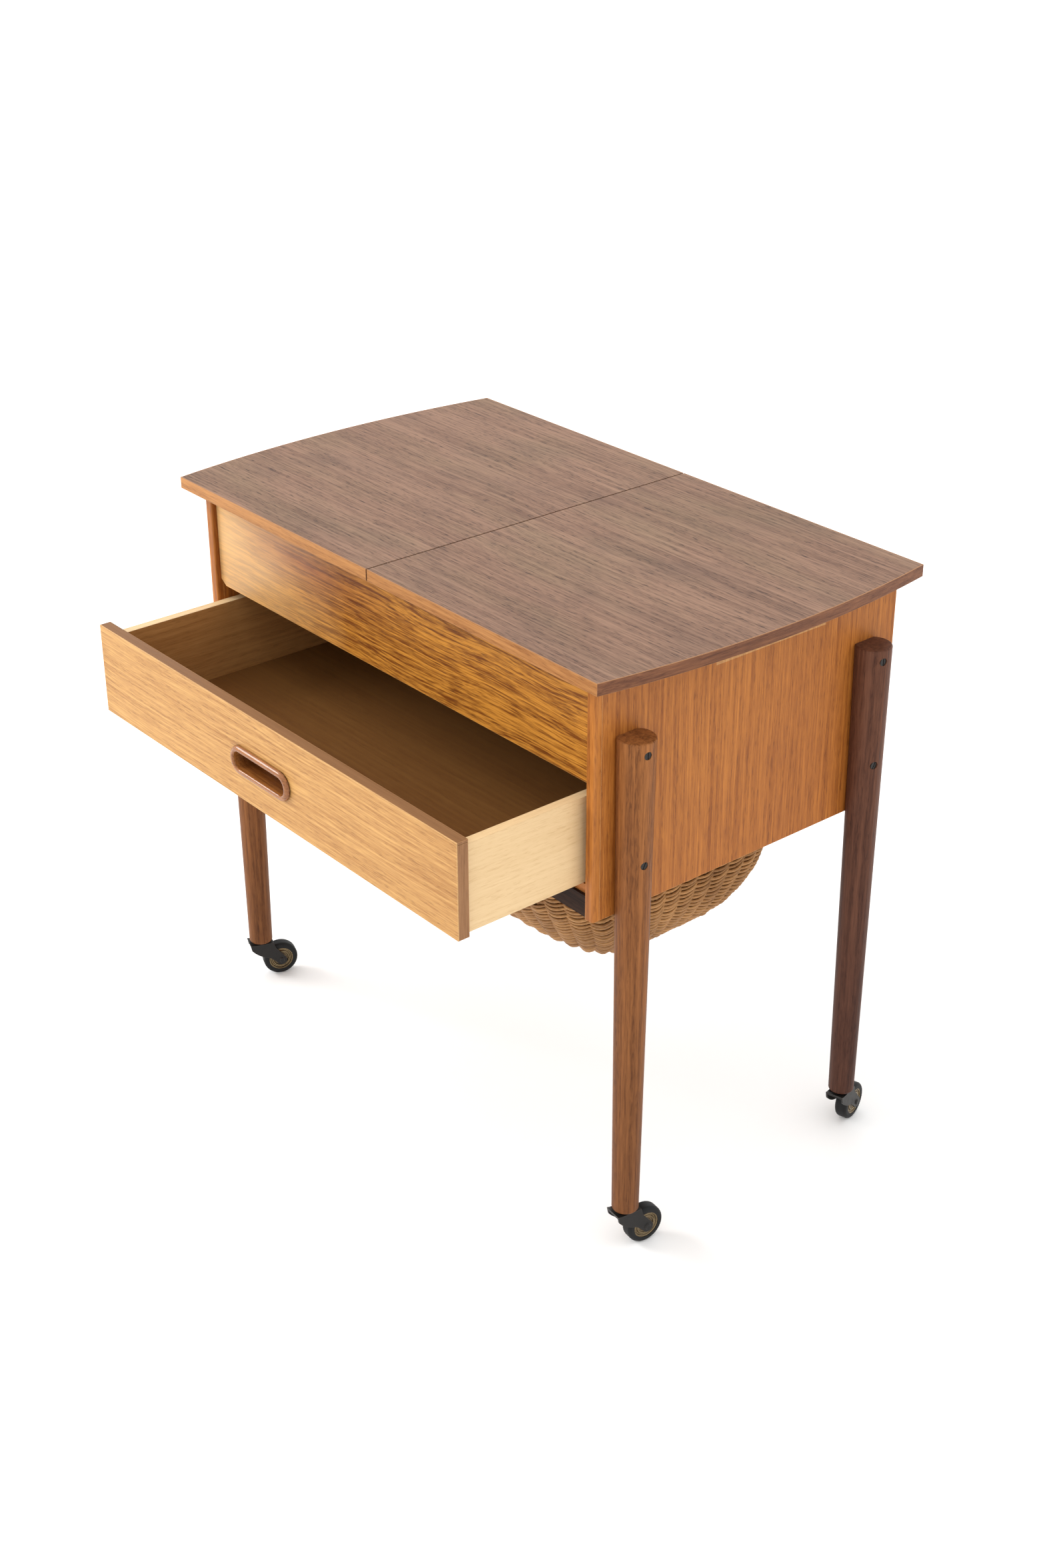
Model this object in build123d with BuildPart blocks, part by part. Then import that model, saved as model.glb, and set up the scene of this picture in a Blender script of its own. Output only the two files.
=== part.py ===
from build123d import *
import math
import os

# Teak sewing table on casters: two-leaf sliding top, drawer (stored 150 mm open),
# pull-out wicker basket, and two sliding trays under the top.
# Millimetres, +Z up, the front faces -Y. The pieces are drawn about the middle of the
# cabinet, and stored about the middle of the whole table's box, at floor level.

# ---- driving dimensions ----
height = 640.0  # floor to table top
gap = 0.4  # clearance between a fixed and a moving piece
fit = 0.05  # clearance around a screw, axle, socket or hub in its hole

top_half = 332.5  # table middle to a corner of the top
top_bow = 17.5  # how far each end bows out beyond its corners
top_half_depth = 207.5
top_thick = 12.0
seam = 1.8  # gap between the two leaves
edge_strip = 3.0  # solid wood strip around the leaves
veneer = 0.8  # face veneer of the leaves and the drawer front, which covers their edge strips
arris = 1.0  # width of edge strip that shows around the veneer of the leaves

panel_in = 301.0  # table middle to the inner face of a side panel
panel_thick = 12.0
panel_front = -191.5
panel_back = 194.5
panel_bottom = 386.6
front_strip = 8.0  # rounded strip on the front edge of a side panel

recess = 6.0  # apron, cross rail and closed drawer lie this far behind the panel fronts
apron_thick = 12.0
apron_bottom = 523.1
corner_cut = (9.0, 6.0)  # bevel on the lower left corner of the apron
back_thick = 6.0
floor_thick = 4.0
scoop_front = -46.0
scoop_back = 97.0
scoop_bottom = 602.6
scoop_depth = 4.0

drawer_open = 150.5  # how far the stored drawer stands open
drawer_half = 300.0
drawer_bottom = 419.2
drawer_top = 517.5
drawer_front_thick = 12.5
drawer_strip = 2.5
drawer_side_out = 293.5
drawer_side_thick = 10.0
drawer_side_top = 508.2
drawer_length = 360.0  # front face to the back of the drawer
drawer_ply_rise = 2.0  # underside of the plywood bottom above that of the sides
drawer_back_thick = 10.0
drawer_back_drop = 6.0  # how far the back is lower than the sides
strip_joint = 0.5  # open joint under each end of the drawer front's top strip

handle_length = 99.0
handle_height = 31.0
handle_x = -4.0
handle_z = 463.5
handle_proud = 5.0
handle_lap = 3.0  # how far the ring laps over the drawer front around the cup
handle_mouth = 6.0  # width of the ring, from its outline to the mouth of the cup
handle_slope = 2.0  # how much narrower the cup is at its floor
handle_round = 4.0
cup_depth = 17.0  # front face of the drawer to the back of the cup
cup_floor = 3.0

cross_rail_bottom = 408.8
cross_rail_drop = 1.0  # top of the cross rail below the drawer
rail_depth = 20.0
runner_width = 22.0

basket_rail_bottom = 386.0
basket_rail_top = 408.5
basket_rail_thick = 12.5
basket_rail_front = -188.5
basket_frame_half = 299.4
basket_frame_back = 170.0
basket_half = 261.0
basket_front = -175.7
basket_back = 152.5
basket_shoulder = 391.0  # the wicker is upright above this and curves in below it
basket_bottom = 216.0
basket_flat = 0.96  # the bowl ends in a flat at this part of its full depth
basket_wall = 6.0
basket_rim = 407.0
basket_frame_height = 12.0  # side and back rails
basket_frame_drop = 0.5  # their top below that of the front rail
basket_frame_gap = 1.0  # side rail to wicker
basket_back_gap = 2.0  # back rail to wicker
basket_runner_width = 12.0

guide_width = 20.0
guide_height = 18.0
groove_width = 10.6
groove_depth = 13.0
leaf_runner = 10.0
leaf_runner_drop = 12.0
leaf_runner_in = 15.0
leaf_runner_out = 290.0

ledge_top = 576.0
ledge_thick = 10.0
ledge_width = 30.0
tray_length = 190.0
tray_front = -151.5
tray_back = 160.5
tray_wall = 6.0
tray_base = 3.0
tray_top = 618.3
tray_outer = 299.0  # table middle to the outer end of a tray at rest
divider = 4.0
tray_clearance = 0.3  # tray above its ledges
divider_drop = 5.0  # dividers are lower than the tray's walls
peg_radius = 2.5
peg_height = 30.0
peg_columns = 3
peg_rows = 5
peg_pitch = (59.0, 60.0)  # from column to column, and from row to row
grip_radius = 14.0

leg_top = 570.0
leg_bottom = 47.5
leg_top_radius = 18.1
leg_bottom_radius = 13.5
leg_top_x = 324.8
leg_bottom_x = 324.4
leg_y = {"front": (-152.8, -153.0), "rear": (153.6, 158.0)}  # at the top, at the bottom
screw_heights = (558.0, 446.3)
screw_y = {"front": -155.0, "rear": 149.5}
screw_sunk = 0.5  # how far a screw head lies below the leg's surface
screw_radius = 1.95
screw_head_radius = 3.9
screw_head_thick = 2.2
screw_reach = 9.0  # how deep a screw goes into the panel
slot_width = 1.3
slot_depth = 1.1
foot_round = 3.0
head_round = 1.5
socket_radius = 4.5
socket_depth = 32.0
collar_radius = 7.0
collar_thick = 1.0
lean_clearance = 0.15  # keeps the slanting end of a leaning leg off its socket's collar

wheel_radius = 20.5
wheel_width = 14.0
hub_radius = 14.2
caster_trail = 21.6
fork_half_width = 10.0
fork_sheet = 1.8
fork_top = 46.2
fork_lip = 15.0  # stem to the front edge of the plate
fork_heel = 13.3  # stem to its back edge
stem_radius = 3.0
stem_height = 31.0
rivet_radius = 2.0
rivet_head_radius = 3.4
rivet_head_thick = 1.3
hub_half_width = 7.7
hub_web = 5.2  # half the thickness of the hub between its boss, ring and rim
hub_ring = 6.4  # half the thickness over the raised ring
tyre_round = 3.5
# direction each wheel trails in, in degrees from +X
headings = {"front_left": 70.0, "front_right": 83.0, "rear_left": 96.0, "rear_right": 105.0}

# ---- derived places ----
top_bottom = height - top_thick
case_top = top_bottom - gap
panel_out = panel_in + panel_thick
apron_front = panel_front + recess
apron_back = apron_front + apron_thick
back_front = panel_back - recess - back_thick
drawer_front = apron_front - drawer_open
drawer_back = drawer_front + drawer_length
front_groove = apron_back + guide_width / 2
back_groove = back_front - guide_width / 2
groove_bottom = case_top - gap - groove_depth
handle_front = drawer_front - handle_proud
to_middle = -(handle_front + top_half_depth) / 2  # shift to the middle of the table's box
sides = {"left": -1, "right": 1}

os.makedirs("parts", exist_ok=True)


def save(piece, name):
    """Store a finished piece about the middle of the table's box."""
    piece.part = piece.part.moved(Location((0, to_middle, 0)))
    piece.part.label = name
    export_step(piece.part, f"parts/{name}.step")


def rectangle(x_span, y_span):
    """A rectangle in the current sketch, from its two spans."""
    with Locations((sum(x_span) / 2, sum(y_span) / 2)):
        Rectangle(abs(x_span[1] - x_span[0]), abs(y_span[1] - y_span[0]))


def board(name, x_span, y_span, z_span):
    """A plain board."""
    with BuildPart() as plain:
        with BuildSketch(Plane.XY.offset(z_span[0])):
            rectangle(x_span, y_span)
        extrude(amount=z_span[1] - z_span[0])
    save(plain, name)


# ---- top leaves ----
bow_radius = (top_half_depth**2 + top_bow**2) / (2 * top_bow)
bow_centre = top_half + top_bow - bow_radius


def leaf_outline(side, inset):
    """Outline of one leaf, with the bowed end, front and back pulled in by inset."""
    y = top_half_depth - inset
    radius = bow_radius - inset
    corner = side * (bow_centre + math.sqrt(radius**2 - y**2))
    middle = side * (bow_centre + radius)
    inner = side * seam / 2
    with BuildSketch(mode=Mode.PRIVATE) as outline:
        with BuildLine():
            ThreePointArc((corner, -y), (middle, 0), (corner, y))
            Polyline((corner, y), (inner, y), (inner, -y), (corner, -y))
        make_face()
    return outline.sketch


for word, side in sides.items():
    with BuildPart() as leaf:
        with BuildSketch(Plane.XY.offset(top_bottom)):
            add(leaf_outline(side, edge_strip))
        extrude(amount=top_thick)
        with BuildSketch(Plane.XY.offset(height - veneer)):
            add(leaf_outline(side, arris))
        extrude(amount=veneer)
    save(leaf, f"leaf_{word}")

    with BuildPart() as strips:
        with BuildSketch(Plane.XY.offset(top_bottom)):
            add(leaf_outline(side, 0))
            add(leaf_outline(side, edge_strip), mode=Mode.SUBTRACT)
        extrude(amount=top_thick - veneer)
        with BuildSketch(Plane.XY.offset(height - veneer)):
            add(leaf_outline(side, 0))
            add(leaf_outline(side, arris), mode=Mode.SUBTRACT)
        extrude(amount=veneer)
    save(strips, f"leaf_edge_strip_{word}")

    with BuildPart() as runners:
        with BuildSketch(Plane.XY.offset(top_bottom - leaf_runner_drop)):
            with Locations(
                (side * (leaf_runner_in + leaf_runner_out) / 2, front_groove),
                (side * (leaf_runner_in + leaf_runner_out) / 2, back_groove),
            ):
                Rectangle(leaf_runner_out - leaf_runner_in, leaf_runner)
        extrude(amount=leaf_runner_drop)
    save(runners, f"leaf_runners_{word}")


# ---- legs: place and radius at any height ----
def leg_at(row, z):
    """Distance from the table's middle, y and radius of a leg at height z."""
    t = (leg_top - z) / (leg_top - leg_bottom)
    y_top, y_bottom = leg_y[row]
    x = leg_top_x + t * (leg_bottom_x - leg_top_x)
    y = y_top + t * (y_bottom - y_top)
    radius = leg_top_radius + t * (leg_bottom_radius - leg_top_radius)
    return x, y, radius


def screw_seat(row, z):
    """Distance from the table's middle to the underside of a screw head."""
    x, y, radius = leg_at(row, z)
    surface = x + math.sqrt(radius**2 - (screw_y[row] - y) ** 2)
    return surface - screw_sunk - screw_head_thick


def panel_holes(side, radius, start, length):
    """Round holes along X at every screw of one side, from start, outwards by length."""
    for row in leg_y:
        for z in screw_heights:
            centre = (side * (start + length / 2), screw_y[row], z)
            with Locations(Location(centre, (0, 90, 0))):
                Cylinder(radius, length, mode=Mode.SUBTRACT)


# ---- side panels ----
notch_width = groove_width + gap
strip_round = 2.5

for word, side in sides.items():
    with BuildPart() as panel:
        with BuildSketch(Plane.XY.offset(panel_bottom)):
            rectangle((side * panel_in, side * panel_out), (panel_front + front_strip, panel_back))
        extrude(amount=case_top - panel_bottom)
        # notches that let the leaf runners pass
        with BuildSketch(Plane.XY.offset(groove_bottom)):
            for y in (front_groove, back_groove):
                half = notch_width / 2
                rectangle((side * panel_in, side * panel_out), (y - half, y + half))
        extrude(amount=case_top - groove_bottom, mode=Mode.SUBTRACT)
        # finger scoop under the overhang of the leaf
        with BuildSketch(Plane.XZ.offset(-scoop_back)):
            with BuildLine():
                Polyline(
                    (side * panel_out, scoop_bottom),
                    (side * panel_out, case_top),
                    (side * (panel_out - scoop_depth), case_top),
                    close=True,
                )
            make_face()
        extrude(amount=scoop_back - scoop_front, mode=Mode.SUBTRACT)
        panel_holes(side, screw_radius + fit, panel_out - screw_reach - 1, screw_reach + 1)
    save(panel, f"side_panel_{word}")

    with BuildPart() as strip:
        with BuildSketch(Plane.XY.offset(panel_bottom)):
            rectangle((side * panel_in, side * panel_out), (panel_front, panel_front + front_strip))
        extrude(amount=case_top - panel_bottom)
        fillet(strip.edges().filter_by(Axis.Z).group_by(Axis.Y)[0], strip_round)
    save(strip, f"panel_front_strip_{word}")


# ---- fixed front, back and floor of the cabinet ----
with BuildPart() as apron:
    with BuildSketch(Plane.XZ.offset(-apron_back)):
        with BuildLine():
            Polyline(
                (-panel_in + corner_cut[0], apron_bottom),
                (panel_in, apron_bottom),
                (panel_in, case_top),
                (-panel_in, case_top),
                (-panel_in, apron_bottom + corner_cut[1]),
                close=True,
            )
        make_face()
    extrude(amount=apron_thick)
save(apron, "front_apron")

full_width = (-panel_in, panel_in)
inside = (apron_back, back_front)
board("back_panel", full_width, (back_front, back_front + back_thick), (panel_bottom, case_top))
board("compartment_floor", full_width, inside, (apron_bottom, apron_bottom + floor_thick))
cross_rail = (apron_front, apron_front + rail_depth)
cross_rail_top = drawer_bottom - cross_rail_drop
board("cross_rail", full_width, cross_rail, (cross_rail_bottom, cross_rail_top))

for word, side in sides.items():
    runner = (side * (panel_in - runner_width), side * panel_in)
    behind_rail = (cross_rail[1], back_front)
    runner_top = drawer_bottom - gap
    board(f"drawer_runner_{word}", runner, behind_rail, (cross_rail_bottom, runner_top))

# ---- guides for the leaf runners, and ledges for the trays ----
for word, y in {"front": front_groove, "back": back_groove}.items():
    with BuildPart() as guide:
        with BuildSketch(Plane.YZ.offset(-panel_in)):
            rectangle(
                (y - guide_width / 2, y + guide_width / 2),
                (case_top - gap - guide_height, case_top - gap),
            )
            with Locations((y, (groove_bottom + case_top) / 2)):
                Rectangle(groove_width, case_top - groove_bottom, mode=Mode.SUBTRACT)
        extrude(amount=2 * panel_in)
    save(guide, f"leaf_guide_{word}")

ledge_span = (ledge_top - ledge_thick, ledge_top)
board("tray_ledge_front", full_width, (apron_back, apron_back + ledge_width), ledge_span)
board("tray_ledge_back", full_width, (back_front - ledge_width, back_front), ledge_span)

# ---- legs ----
for row in leg_y:
    for word, side in sides.items():
        top_x, top_y, _ = leg_at(row, leg_top)
        low_x, low_y, _ = leg_at(row, leg_bottom)
        foot = Vector(side * low_x, low_y, leg_bottom + lean_clearance)
        lean = Vector(side * top_x, top_y, leg_top) - foot
        widening = math.degrees(math.atan((leg_top_radius - leg_bottom_radius) / lean.length))
        with BuildPart() as leg:
            with BuildSketch(Plane(origin=foot, x_dir=(1, 0, 0), z_dir=lean)):
                Circle(leg_bottom_radius)
            extrude(amount=lean.length, taper=-widening)
            fillet(leg.edges().group_by(Axis.Z)[0], foot_round)
            fillet(leg.edges().group_by(Axis.Z)[-1], head_round)
            # flat where the leg stands against the side panel
            with BuildSketch(Plane.XY.offset(panel_bottom)):
                y_span = (top_y - 2 * leg_top_radius, top_y + 2 * leg_top_radius)
                rectangle((side * panel_in, side * panel_out), y_span)
            extrude(amount=leg_top + 1 - panel_bottom, mode=Mode.SUBTRACT)
            # screw holes with a sunk seat for each head
            for z in screw_heights:
                seat_middle = screw_seat(row, z) + leg_top_radius / 2
                with Locations(Location((side * top_x, screw_y[row], z), (0, 90, 0))):
                    Cylinder(screw_radius + fit, 2 * leg_top_radius, mode=Mode.SUBTRACT)
                with Locations(Location((side * seat_middle, screw_y[row], z), (0, 90, 0))):
                    Cylinder(screw_head_radius + 2 * fit, leg_top_radius, mode=Mode.SUBTRACT)
            # hole for the caster socket
            with Locations((side * low_x, low_y, leg_bottom + socket_depth / 2)):
                Cylinder(socket_radius, socket_depth, mode=Mode.SUBTRACT)
        save(leg, f"leg_{row}_{word}")

# ---- slotted wood screws, two in each leg ----
with BuildPart() as screws:
    for row in leg_y:
        for side in sides.values():
            for z in screw_heights:
                y = screw_y[row]
                seat = screw_seat(row, z)
                tip = panel_out - screw_reach
                head_face = seat + screw_head_thick
                with Locations(Location((side * (tip + seat) / 2, y, z), (0, 90, 0))):
                    Cylinder(screw_radius, seat - tip)
                with Locations(Location((side * (seat + head_face) / 2, y, z), (0, 90, 0))):
                    Cylinder(screw_head_radius, screw_head_thick)
                slot_middle = side * (head_face - slot_depth / 2)
                slot_angle = 40 + z / 4  # so that upper and lower slots differ
                with Locations(Location((slot_middle, y, z), (slot_angle, 0, 0))):
                    Box(slot_depth, slot_width, 2.5 * screw_head_radius, mode=Mode.SUBTRACT)
save(screws, "leg_screws")

# ---- drawer ----
half_front = drawer_half - drawer_strip
strip_bottom = drawer_top - drawer_strip
front_span = (drawer_front, drawer_front + drawer_front_thick)
cup_length = handle_length - 2 * handle_lap
cup_height = handle_height - 2 * handle_lap

with BuildPart() as front:
    with BuildSketch(Plane.XZ.offset(-front_span[1])):
        rectangle((-half_front, half_front), (drawer_bottom, strip_bottom))
    extrude(amount=drawer_front_thick)
    with BuildSketch(Plane.XZ.offset(-drawer_front - veneer)):
        rectangle((-drawer_half, drawer_half), (drawer_bottom, drawer_top))
    extrude(amount=veneer)
    with BuildSketch(Plane.XZ.offset(-front_span[1])):
        with Locations((handle_x, handle_z)):
            SlotOverall(cup_length, cup_height)
    extrude(amount=drawer_front_thick, mode=Mode.SUBTRACT)
save(front, "drawer_front")

with BuildPart() as strips:
    with BuildSketch(Plane.XZ.offset(-front_span[1])):
        rectangle((-drawer_half, drawer_half), (strip_bottom, drawer_top))
        for side in sides.values():
            z_span = (drawer_bottom, strip_bottom - strip_joint)
            rectangle((side * half_front, side * drawer_half), z_span)
    extrude(amount=drawer_front_thick - veneer)
save(strips, "drawer_edge_strips")

# handle: a rounded stadium ring that stands proud, around a finger cup with a closed back
mouth = 2 * handle_mouth
floor_mouth = mouth + 2 * handle_slope
with BuildPart() as handle:
    with BuildSketch(Plane.XZ.offset(-drawer_front)):
        with Locations((handle_x, handle_z)):
            SlotOverall(handle_length, handle_height)
    extrude(amount=handle_proud)
    fillet(handle.edges().group_by(Axis.Y)[0], handle_round)
    with BuildSketch(Plane.XZ.offset(-drawer_front - cup_depth)):
        with Locations((handle_x, handle_z)):
            SlotOverall(cup_length, cup_height)
    extrude(amount=cup_depth)
    with BuildSketch(Plane.XZ.offset(-handle_front)):
        with Locations((handle_x, handle_z)):
            SlotOverall(handle_length - mouth, handle_height - mouth)
    with BuildSketch(Plane.XZ.offset(-drawer_front - cup_depth + cup_floor)):
        with Locations((handle_x, handle_z)):
            SlotOverall(handle_length - floor_mouth, handle_height - floor_mouth)
    loft(mode=Mode.SUBTRACT)
save(handle, "drawer_handle")

side_in = drawer_side_out - drawer_side_thick
body_span = (front_span[1], drawer_back)
for word, side in sides.items():
    x_span = (side * side_in, side * drawer_side_out)
    board(f"drawer_side_{word}", x_span, body_span, (drawer_bottom, drawer_side_top))
ply_bottom = drawer_bottom + drawer_ply_rise
ply_top = ply_bottom + floor_thick
between = (-side_in, side_in)
board("drawer_bottom", between, body_span, (ply_bottom, ply_top))
y_span = (drawer_back - drawer_back_thick, drawer_back)
board("drawer_back", between, y_span, (ply_top, drawer_side_top - drawer_back_drop))

# ---- basket frame and its runners ----
frame_front = (basket_rail_front, basket_rail_front + basket_rail_thick)
frame_top = basket_rail_top - basket_frame_drop
frame_bottom = frame_top - basket_frame_height
frame_back = (basket_back + basket_back_gap, basket_frame_back)
rail_in = basket_half + basket_frame_gap
frame_half = (-basket_frame_half, basket_frame_half)
board("basket_front_rail", frame_half, frame_front, (basket_rail_bottom, basket_rail_top))
board("basket_back_rail", (-rail_in, rail_in), frame_back, (frame_bottom, frame_top))
for word, side in sides.items():
    x_span = (side * rail_in, side * basket_frame_half)
    y_span = (frame_front[1], basket_frame_back)
    board(f"basket_side_rail_{word}", x_span, y_span, (frame_bottom, frame_top))
    x_span = (side * (panel_in - basket_runner_width), side * panel_in)
    y_span = (frame_front[1] + 1, back_front)  # clear of the front rail by 1
    board(f"basket_runner_{word}", x_span, y_span, (panel_bottom, frame_bottom - gap))


# ---- wicker basket: upright rim, then a bowl that is boat-shaped from front to back ----
end_power = 3.0
front_power = 1.7
back_power = 2.2
corner_ratio = 0.25  # corner radius as a part of the basket's depth
basket_half_depth = (basket_back - basket_front) / 2
basket_y = (basket_back + basket_front) / 2


def bowl_section(fraction, inset):
    """One level of the bowl, at a fraction of the way from its shoulder to its bottom."""
    half_x = basket_half * (1 - fraction**end_power) ** (1 / end_power) - inset
    front = basket_y - basket_half_depth * (1 - fraction**front_power) ** (1 / front_power) + inset
    back = basket_y + basket_half_depth * (1 - fraction**back_power) ** (1 / back_power) - inset
    depth = back - front
    z = basket_shoulder + fraction * (basket_bottom + inset - basket_shoulder)
    with BuildSketch(Plane.XY.offset(z), mode=Mode.PRIVATE) as section:
        with Locations((0, (front + back) / 2)):
            RectangleRounded(2 * half_x, depth, corner_ratio * depth)
    return section.sketch


levels = (0, 0.15, 0.3, 0.45, 0.6, 0.72, 0.82, 0.9, basket_flat)
with BuildPart() as basket:
    for inset, mode in ((0, Mode.ADD), (basket_wall, Mode.SUBTRACT)):
        sections = [bowl_section(fraction, inset).faces()[0] for fraction in levels]
        loft(sections=sections, ruled=True, mode=mode)
        extrude(sections[0], amount=basket_rim - basket_shoulder, dir=(0, 0, 1), mode=mode)
save(basket, "wicker_basket")


# ---- trays ----
tray_floor = ledge_top + tray_clearance + tray_base
tray_middle = (tray_front + tray_back) / 2
frame_middle = tray_outer - tray_length / 2


def tray(name, side):
    """Bottom and frame of one tray, with a finger grip in each end wall."""
    x_span = (side * (tray_outer - tray_length), side * tray_outer)
    y_span = (tray_front, tray_back)
    board(f"{name}_bottom", x_span, y_span, (tray_floor - tray_base, tray_floor))
    with BuildPart() as frame:
        with BuildSketch(Plane.XY.offset(tray_floor)):
            rectangle(x_span, y_span)
            with Locations((side * frame_middle, tray_middle)):
                depth = tray_back - tray_front
                Rectangle(tray_length - 2 * tray_wall, depth - 2 * tray_wall, mode=Mode.SUBTRACT)
        extrude(amount=tray_top - tray_floor)
        with BuildSketch(Plane.YZ.offset(-tray_outer)):
            with Locations((tray_middle, tray_top)):
                Circle(grip_radius)
        extrude(amount=2 * tray_outer, mode=Mode.SUBTRACT)
    save(frame, f"{name}_frame")


tray("spool_tray", -1)
tray("divided_tray", 1)

with BuildPart() as pegs:
    with BuildSketch(Plane.XY.offset(tray_floor)):
        with Locations((-frame_middle, tray_middle)):
            with GridLocations(*peg_pitch, peg_columns, peg_rows):
                Circle(peg_radius)
    extrude(amount=peg_height)
    fillet(pegs.edges().group_by(Axis.Z)[-1], peg_radius * 0.6)
save(pegs, "spool_pegs")

inner_length = tray_length - 2 * tray_wall
inner_depth = tray_back - tray_front - 2 * tray_wall
with BuildPart() as dividers:
    with BuildSketch(Plane.XY.offset(tray_floor)):
        with Locations((frame_middle, tray_middle)):
            Rectangle(divider, inner_depth)
            with GridLocations(0, inner_depth / 3, 1, 2):
                Rectangle(inner_length, divider)
    extrude(amount=tray_top - tray_floor - divider_drop)
save(dividers, "tray_dividers")


# ---- casters ----
def caster(name, x, y, heading):
    """Fork with stem and riveted axle, hub and tyre of one caster."""
    turn = math.radians(heading)
    trail = (math.cos(turn), math.sin(turn), 0)
    axle = (math.sin(turn), -math.cos(turn), 0)
    centre = (x + caster_trail * trail[0], y + caster_trail * trail[1], wheel_radius)
    along = Plane(origin=(x, y, 0), x_dir=trail, z_dir=axle)
    across = Plane(origin=centre, x_dir=axle, z_dir=(-trail[0], -trail[1], 0))
    at_wheel = Plane(origin=centre, x_dir=trail, z_dir=axle)

    with BuildPart() as fork:
        # side view of the bent plate, from its front lip down to the axle and back up
        lip = (-fork_lip, fork_top + 1.0)
        front_foot = (-fork_lip + 1.5, fork_top - 6.5)
        belly = (-5.5, 32.0)
        neck = (7.0, 26.0)
        below_axle = (caster_trail - 5.5, 18.0)
        behind_axle = (caster_trail + 5.7, 23.0)
        waist = (15.5, 38.0)
        with BuildSketch(along):
            with BuildLine():
                Line(lip, front_foot)
                ThreePointArc(front_foot, belly, neck)
                ThreePointArc(neck, (11.5, 22.5), below_axle)
                ThreePointArc(below_axle, (caster_trail + 2.0, 14.4), behind_axle)
                Line(behind_axle, waist)
                ThreePointArc(waist, (14.0, 42.5), (fork_heel, fork_top))
                Polyline((fork_heel, fork_top), (4 - fork_lip, fork_top), lip)
            make_face()
        extrude(amount=fork_half_width, both=True)
        # room for the wheel between the cheeks, under the top plate
        with BuildSketch(along):
            rectangle((-fork_lip - 5, caster_trail + wheel_radius), (0, fork_top - 2.0))
        extrude(amount=fork_half_width - fork_sheet, both=True, mode=Mode.SUBTRACT)
        with BuildSketch(at_wheel):
            Circle(rivet_radius + fit)
        extrude(amount=fork_half_width + 2, both=True, mode=Mode.SUBTRACT)
        with BuildSketch(Plane.XY.offset(fork_top - 1)):
            with Locations((x, y)):
                Circle(stem_radius)
        extrude(amount=stem_height + 1)
        # riveted axle, a separate piece that turns with the fork
        head_start = fork_half_width + 2 * fit
        with BuildSketch(at_wheel):
            Circle(rivet_radius)
        extrude(amount=head_start, both=True)
        for face in (-1, 1):
            with BuildSketch(at_wheel.offset(face * head_start)):
                Circle(rivet_head_radius)
            extrude(amount=face * rivet_head_thick, taper=30)
    save(fork, f"caster_fork_{name}")

    bore = rivet_radius + fit + 0.01
    with BuildPart() as hub:
        with BuildSketch(across):
            with BuildLine():
                profile = Polyline(
                    (0, bore),
                    (hub_half_width, bore),
                    # boss
                    (hub_half_width, 4.6),
                    (hub_web + 0.4, 5.6),
                    (hub_web, 8.0),
                    # raised ring
                    (hub_ring, 9.2),
                    (hub_ring, 10.0),
                    (hub_web, 11.2),
                    (hub_web, 12.0),
                    # rim
                    (hub_ring + 0.2, 13.2),
                    (hub_ring + 0.2, hub_radius),
                    (0, hub_radius),
                )
                mirror(profile, about=Plane.YZ)
            make_face()
        revolve(axis=Axis(centre, axle))
    save(hub, f"caster_hub_{name}")

    with BuildPart() as tyre:
        with BuildSketch(at_wheel):
            Circle(wheel_radius)
            Circle(hub_radius + fit, mode=Mode.SUBTRACT)
        extrude(amount=wheel_width / 2, both=True)
        rims = tyre.edges().filter_by(GeomType.CIRCLE).sort_by(SortBy.RADIUS)[-2:]
        fillet(rims, tyre_round)
    save(tyre, f"caster_tyre_{name}")


for row in leg_y:
    for word, side in sides.items():
        low_x, low_y, _ = leg_at(row, leg_bottom)
        caster(f"{row}_{word}", side * low_x, low_y, headings[f"{row}_{word}"])

# caster sockets: a tube in each leg, with a collar under the foot
stem_hole = stem_radius + 0.07
spots = [(side * leg_bottom_x, leg_y[row][1]) for row in leg_y for side in sides.values()]
with BuildPart() as sockets:
    for radius, amount in ((socket_radius - fit, socket_depth), (collar_radius, -collar_thick)):
        with BuildSketch(Plane.XY.offset(leg_bottom)):
            with Locations(spots):
                Circle(radius)
                Circle(stem_hole, mode=Mode.SUBTRACT)
        extrude(amount=amount)
save(sockets, "caster_sockets")
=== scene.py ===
import math

import bpy
import numpy as np
from mathutils import Matrix, Vector


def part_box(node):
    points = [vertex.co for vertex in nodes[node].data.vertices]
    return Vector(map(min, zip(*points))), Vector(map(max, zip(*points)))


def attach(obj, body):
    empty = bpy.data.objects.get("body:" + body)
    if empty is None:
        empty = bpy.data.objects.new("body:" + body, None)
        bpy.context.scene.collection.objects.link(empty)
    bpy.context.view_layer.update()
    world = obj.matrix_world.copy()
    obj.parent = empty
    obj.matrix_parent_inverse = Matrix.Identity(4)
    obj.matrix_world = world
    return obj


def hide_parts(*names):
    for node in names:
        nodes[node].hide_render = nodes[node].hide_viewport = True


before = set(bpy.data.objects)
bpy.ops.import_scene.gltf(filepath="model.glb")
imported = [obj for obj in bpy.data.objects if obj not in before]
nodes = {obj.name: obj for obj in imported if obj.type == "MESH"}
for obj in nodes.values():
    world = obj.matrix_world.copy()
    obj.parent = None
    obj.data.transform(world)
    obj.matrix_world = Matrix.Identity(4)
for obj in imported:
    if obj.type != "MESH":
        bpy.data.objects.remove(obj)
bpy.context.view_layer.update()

# ---- camera: a 50 mm lens, looking down on the table's front right corner ----
camera_place = (1.57848, -1.25191, 1.43104)
azimuth, elevation, roll = 50.453, 27.986, -0.171  # degrees
camera_data = bpy.data.cameras.new("camera")
camera_data.lens = 50.0
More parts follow.
